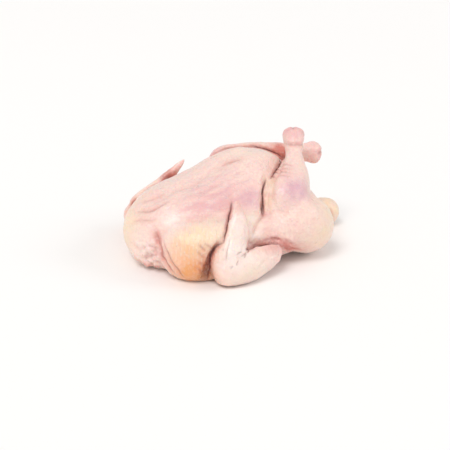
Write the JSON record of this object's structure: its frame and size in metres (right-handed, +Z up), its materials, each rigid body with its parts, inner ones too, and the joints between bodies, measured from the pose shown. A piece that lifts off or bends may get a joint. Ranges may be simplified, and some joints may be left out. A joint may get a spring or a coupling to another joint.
{
  "type": "raw chicken",
  "caption": "Whole raw chicken lying on its back, pale pink skin on, wings folded beside the breast and legs drawn up with their ends crossing over the vent.",
  "frame": {"origin": "middle of the bird's footprint, on the surface that it rests on", "axes": "+X from the neck end to the tail, +Y towards the bird's left side, +Z up out of the breast"},
  "size_m": [0.26, 0.1966, 0.1189],
  "materials": {
    "raw_skin": "moist, slightly glossy raw poultry skin, pale pink to cream with fine bumps"
  },
  "bodies": {
    "root": {"chicken": "raw_skin"}
  },
  "joints": []
}
